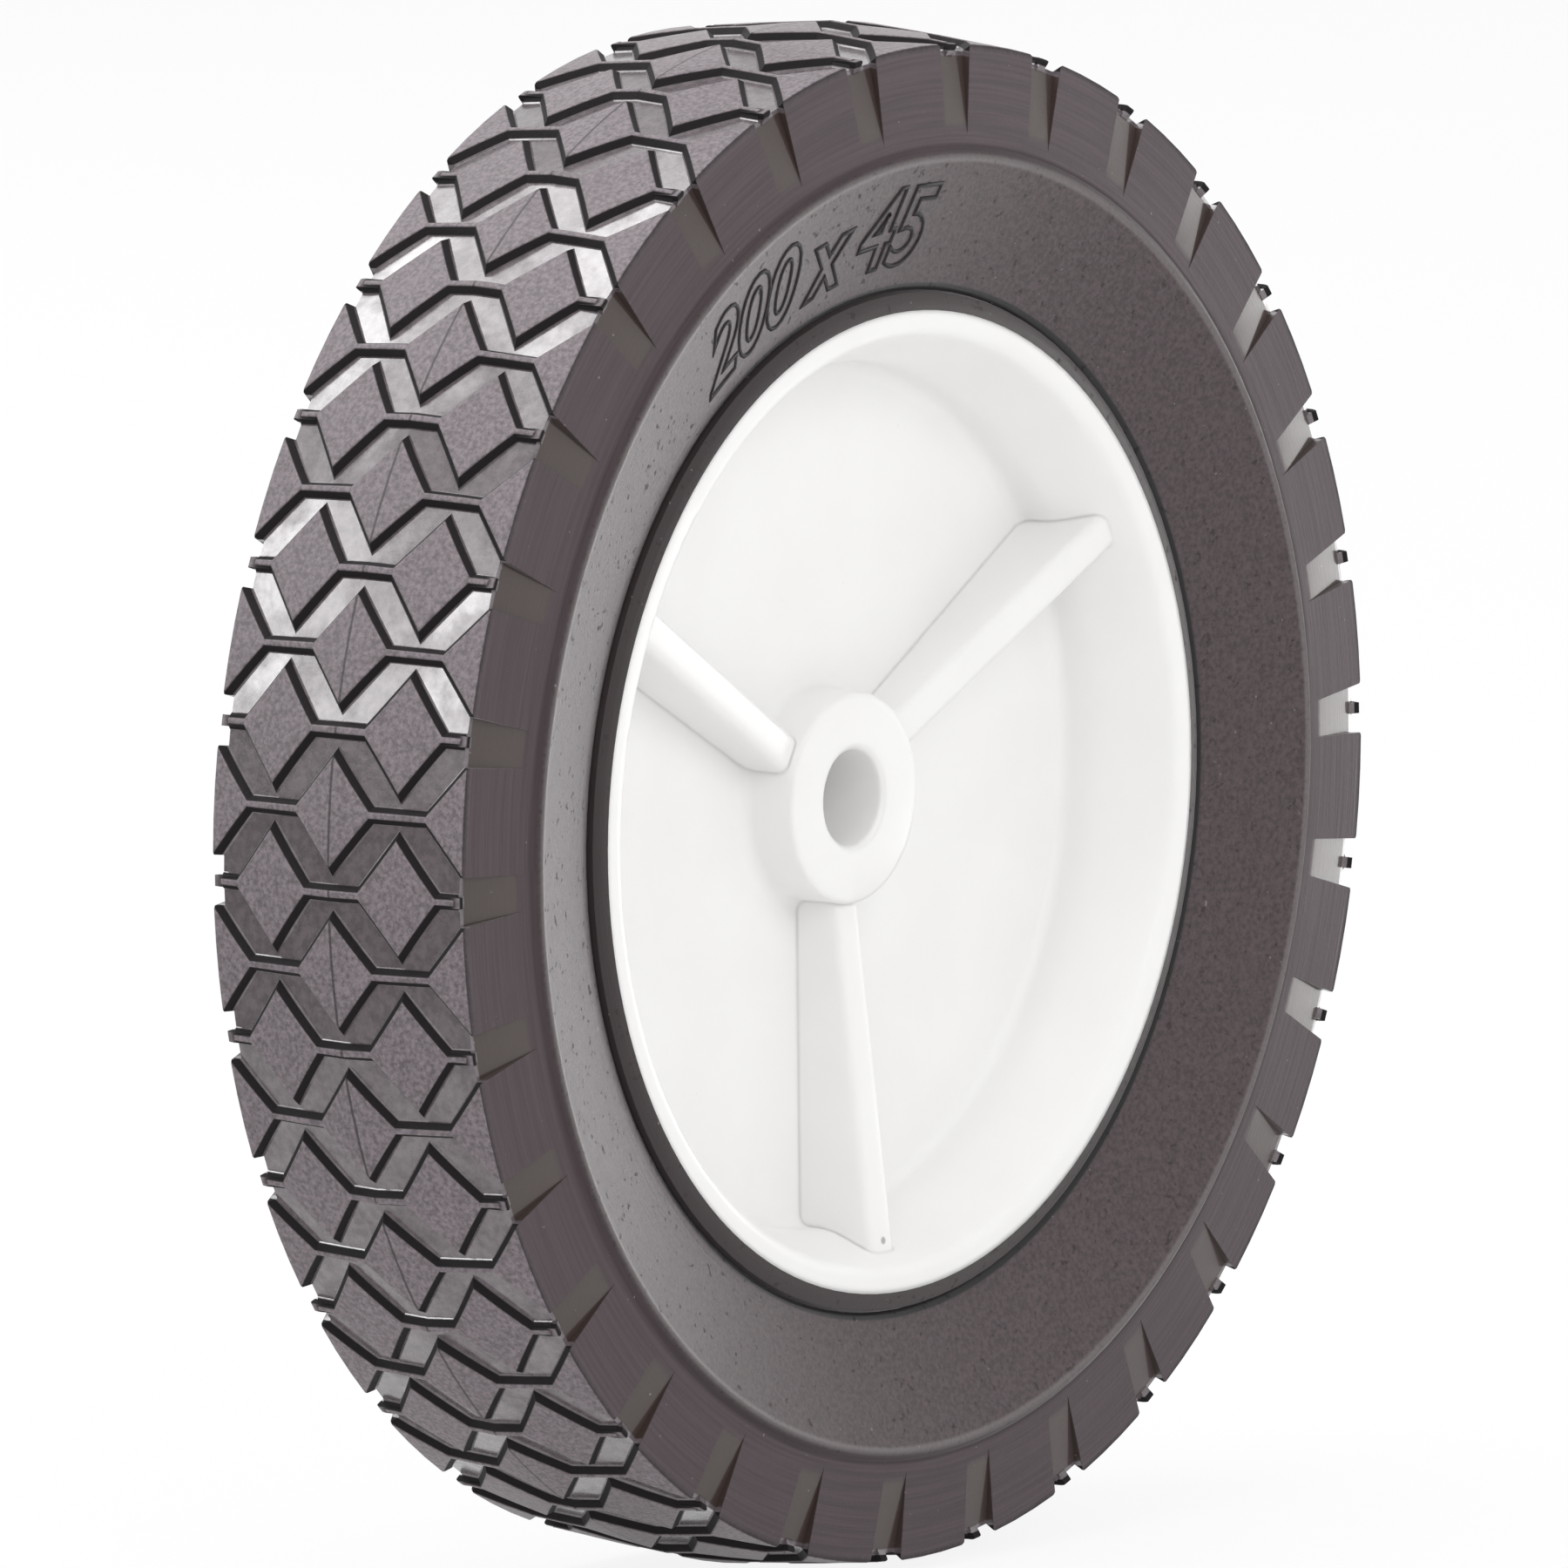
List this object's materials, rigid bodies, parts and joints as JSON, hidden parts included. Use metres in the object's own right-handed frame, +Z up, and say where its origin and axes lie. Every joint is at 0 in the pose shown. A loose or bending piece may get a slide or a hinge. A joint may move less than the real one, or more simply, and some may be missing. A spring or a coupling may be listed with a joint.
{
  "type": "lawn mower wheel",
  "caption": "Lawn mower wheel: a moulded rubber tyre with a diamond tread on a one-piece white plastic hub, ribbed between a bored boss and a flared rim, for a plain axle bolt.",
  "frame": {"origin": "centre of the wheel: on the axle's axis, at the middle of the tyre's width", "axes": "+Y along the axle towards the machine, so the outer face looks along -Y; +Z up; +X to the right of someone who looks at the outer face"},
  "size_m": [0.2032, 0.0475, 0.2032],
  "materials": {
    "tyre": "matte moulded rubber",
    "hub": "soft gloss, moulded"
  },
  "bodies": {
    "root": {"tyre": "tyre", "wheel_hub": "hub"}
  },
  "joints": []
}
